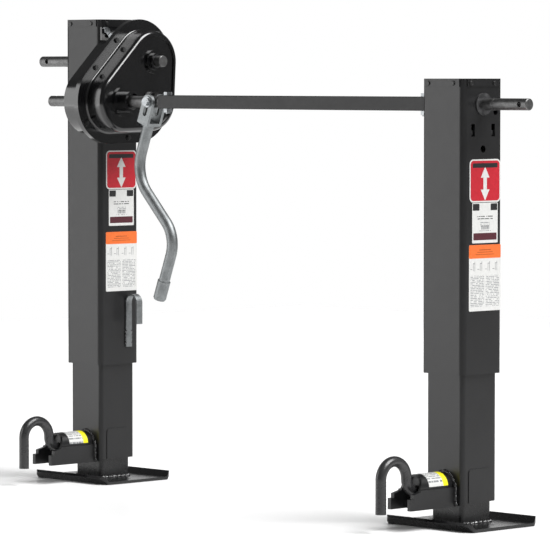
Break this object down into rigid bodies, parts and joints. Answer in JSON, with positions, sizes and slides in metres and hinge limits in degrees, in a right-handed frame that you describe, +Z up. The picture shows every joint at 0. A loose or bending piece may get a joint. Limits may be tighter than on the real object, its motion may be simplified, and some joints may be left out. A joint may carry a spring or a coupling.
{
  "type": "tandem trailer landing jack",
  "caption": "Tandem drop-leg trailer jack: two square legs raised and lowered together through a gearbox, a cross tube and a folding crank.",
  "frame": {"origin": "centre of the primary leg's foot underside, on the ground", "axes": "+X along the drive shafts from the primary to the secondary leg, +Y away from the pull pins, +Z up"},
  "size_m": [1.3888, 0.3855, 0.909],
  "materials": {
    "tube_paint": "satin black enamel",
    "foot_paint": "satin black enamel",
    "pin_paint": "semi-gloss black enamel",
    "gearbox_paint": "gloss black enamel",
    "cross_tube_paint": "satin black enamel",
    "shaft_steel": "cold-drawn",
    "crank_zinc": "zinc plated",
    "bright_zinc": "bright zinc plated",
    "black_hardware": "black oxide",
    "gear_steel": "machined",
    "bearing_steel": "ground",
    "plain_steel": "mill finish",
    "spring_steel": "oil tempered",
    "bronze": "cast",
    "emblem_label": "printed vinyl",
    "rating_label": "printed vinyl",
    "notice_label": "printed vinyl",
    "pin_label": "printed vinyl"
  },
  "bodies": {
    "frame": {"primary_outer_tube": "tube_paint", "primary_top_cap": "tube_paint", "primary_bearing_plate": "plain_steel", "primary_thrust_bearing": "bearing_steel", "secondary_outer_tube": "tube_paint", "secondary_top_cap": "tube_paint", "secondary_bearing_plate": "plain_steel", "secondary_thrust_bearing": "bearing_steel", "cap_screws": "black_hardware", "head_bushings": "plain_steel", "gearbox_rear_housing": "gearbox_paint", "gearbox_front_cover": "gearbox_paint", "gearbox_flange_screws": "black_hardware", "gearbox_mount_bolts": "bright_zinc", "gearbox_bushings": "plain_steel", "grease_fitting": "bright_zinc", "idler_shaft": "shaft_steel", "idler_nut": "black_hardware", "emblem_labels": "emblem_label", "rating_labels": "rating_label", "notice_labels": "notice_label", "handle_clip": "crank_zinc"},
    "primary_screw": {"primary_lead_screw": "bearing_steel", "primary_bevel_gear": "gear_steel"},
    "primary_ram": {"primary_ram_tube": "tube_paint", "primary_ram_nut": "bronze", "primary_pin_bracket": "tube_paint", "primary_pin_label": "pin_label"},
    "primary_drop": {"primary_drop_leg": "foot_paint", "primary_foot_plate": "foot_paint"},
    "primary_pin": {"primary_pull_pin": "pin_paint", "primary_pin_washer": "black_hardware", "primary_pin_spring": "spring_steel"},
    "secondary_screw": {"secondary_lead_screw": "bearing_steel", "secondary_bevel_gear": "gear_steel"},
    "secondary_ram": {"secondary_ram_tube": "tube_paint", "secondary_ram_nut": "bronze", "secondary_pin_bracket": "tube_paint", "secondary_pin_label": "pin_label"},
    "secondary_drop": {"secondary_drop_leg": "foot_paint", "secondary_foot_plate": "foot_paint"},
    "secondary_pin": {"secondary_pull_pin": "pin_paint", "secondary_pin_washer": "black_hardware", "secondary_pin_spring": "spring_steel"},
    "main_shaft": {"main_shaft": "shaft_steel", "output_gear": "gear_steel", "primary_bevel_pinion": "gear_steel"},
    "drive_shaft": {"drive_shaft": "shaft_steel", "drive_gear": "gear_steel", "cross_tube": "cross_tube_paint", "cross_tube_bolts": "bright_zinc", "secondary_head_shaft": "shaft_steel", "secondary_bevel_pinion": "gear_steel", "crank_bolt": "bright_zinc", "crank_washers": "bright_zinc", "crank_locknut": "bright_zinc"},
    "idler": {"idler_gear": "gear_steel"},
    "crank": {"crank_fork": "crank_zinc", "crank_tube": "crank_zinc"},
    "grip": {"crank_grip_sleeve": "crank_zinc"}
  },
  "joints": [
    {"name": "drive_shaft_turn", "type": "hinge", "parent": "frame", "child": "drive_shaft", "pos_m": [0.1, -0.08, 0.749], "axis": [1, 0, 0], "range_deg": [0, 34560]},
    {"name": "idler_turn", "type": "hinge", "parent": "frame", "child": "idler", "pos_m": [0.102, -0.00403, 0.75111], "axis": [1, 0, 0], "range_deg": [-34561, 1]},
    {"name": "main_shaft_turn", "type": "hinge", "parent": "frame", "child": "main_shaft", "pos_m": [0.1, 0, 0.827], "axis": [1, 0, 0], "range_deg": [-1, 34561]},
    {"name": "primary_screw_turn", "type": "hinge", "parent": "frame", "child": "primary_screw", "pos_m": [0, 0, 0.7], "axis": [0, 0, 1], "range_deg": [-1, 17281]},
    {"name": "secondary_screw_turn", "type": "hinge", "parent": "frame", "child": "secondary_screw", "pos_m": [1.05, -0.08, 0.6], "axis": [0, 0, 1], "range_deg": [-1, 17281]},
    {"name": "primary_ram_slide", "type": "slide", "parent": "frame", "child": "primary_ram", "axis": [0, 0, -1], "range_m": [0, 0.3048]},
    {"name": "secondary_ram_slide", "type": "slide", "parent": "frame", "child": "secondary_ram", "axis": [0, 0, -1], "range_m": [0, 0.3048]},
    {"name": "crank_fold", "type": "hinge", "parent": "drive_shaft", "child": "crank", "pos_m": [0.242, -0.08, 0.749], "axis": [0, 1, 0], "range_deg": [-40, 12]},
    {"name": "grip_turn", "type": "hinge", "parent": "crank", "child": "grip", "pos_m": [0.25453, -0.08, 0.36941], "axis": [-0.3584, 0, -0.9336], "continuous": true},
    {"name": "primary_drop_slide", "type": "slide", "parent": "primary_ram", "child": "primary_drop", "axis": [0, 0, -1], "range_m": [0, 0.3048]},
    {"name": "secondary_drop_slide", "type": "slide", "parent": "secondary_ram", "child": "secondary_drop", "axis": [0, 0, -1], "range_m": [0, 0.3048]},
    {"name": "primary_pin_slide", "type": "slide", "parent": "primary_ram", "child": "primary_pin", "axis": [0, -1, 0], "range_m": [0, 0.015], "stiffness_N_per_m": 1500, "springref_m": -0.012, "deforming": ["primary_pin_spring"]},
    {"name": "secondary_pin_slide", "type": "slide", "parent": "secondary_ram", "child": "secondary_pin", "axis": [0, -1, 0], "range_m": [0, 0.015], "stiffness_N_per_m": 1500, "springref_m": -0.012, "deforming": ["secondary_pin_spring"]}
  ],
  "couplings": [
    {"joint": "idler_turn", "follows": "drive_shaft_turn", "ratio": -1},
    {"joint": "main_shaft_turn", "follows": "drive_shaft_turn", "ratio": 1},
    {"joint": "primary_screw_turn", "follows": "drive_shaft_turn", "ratio": 0.5},
    {"joint": "secondary_screw_turn", "follows": "drive_shaft_turn", "ratio": 0.5},
    {"joint": "primary_ram_slide", "follows": "drive_shaft_turn", "m_per_rad": 0.00050532},
    {"joint": "secondary_ram_slide", "follows": "drive_shaft_turn", "m_per_rad": 0.00050532}
  ]
}
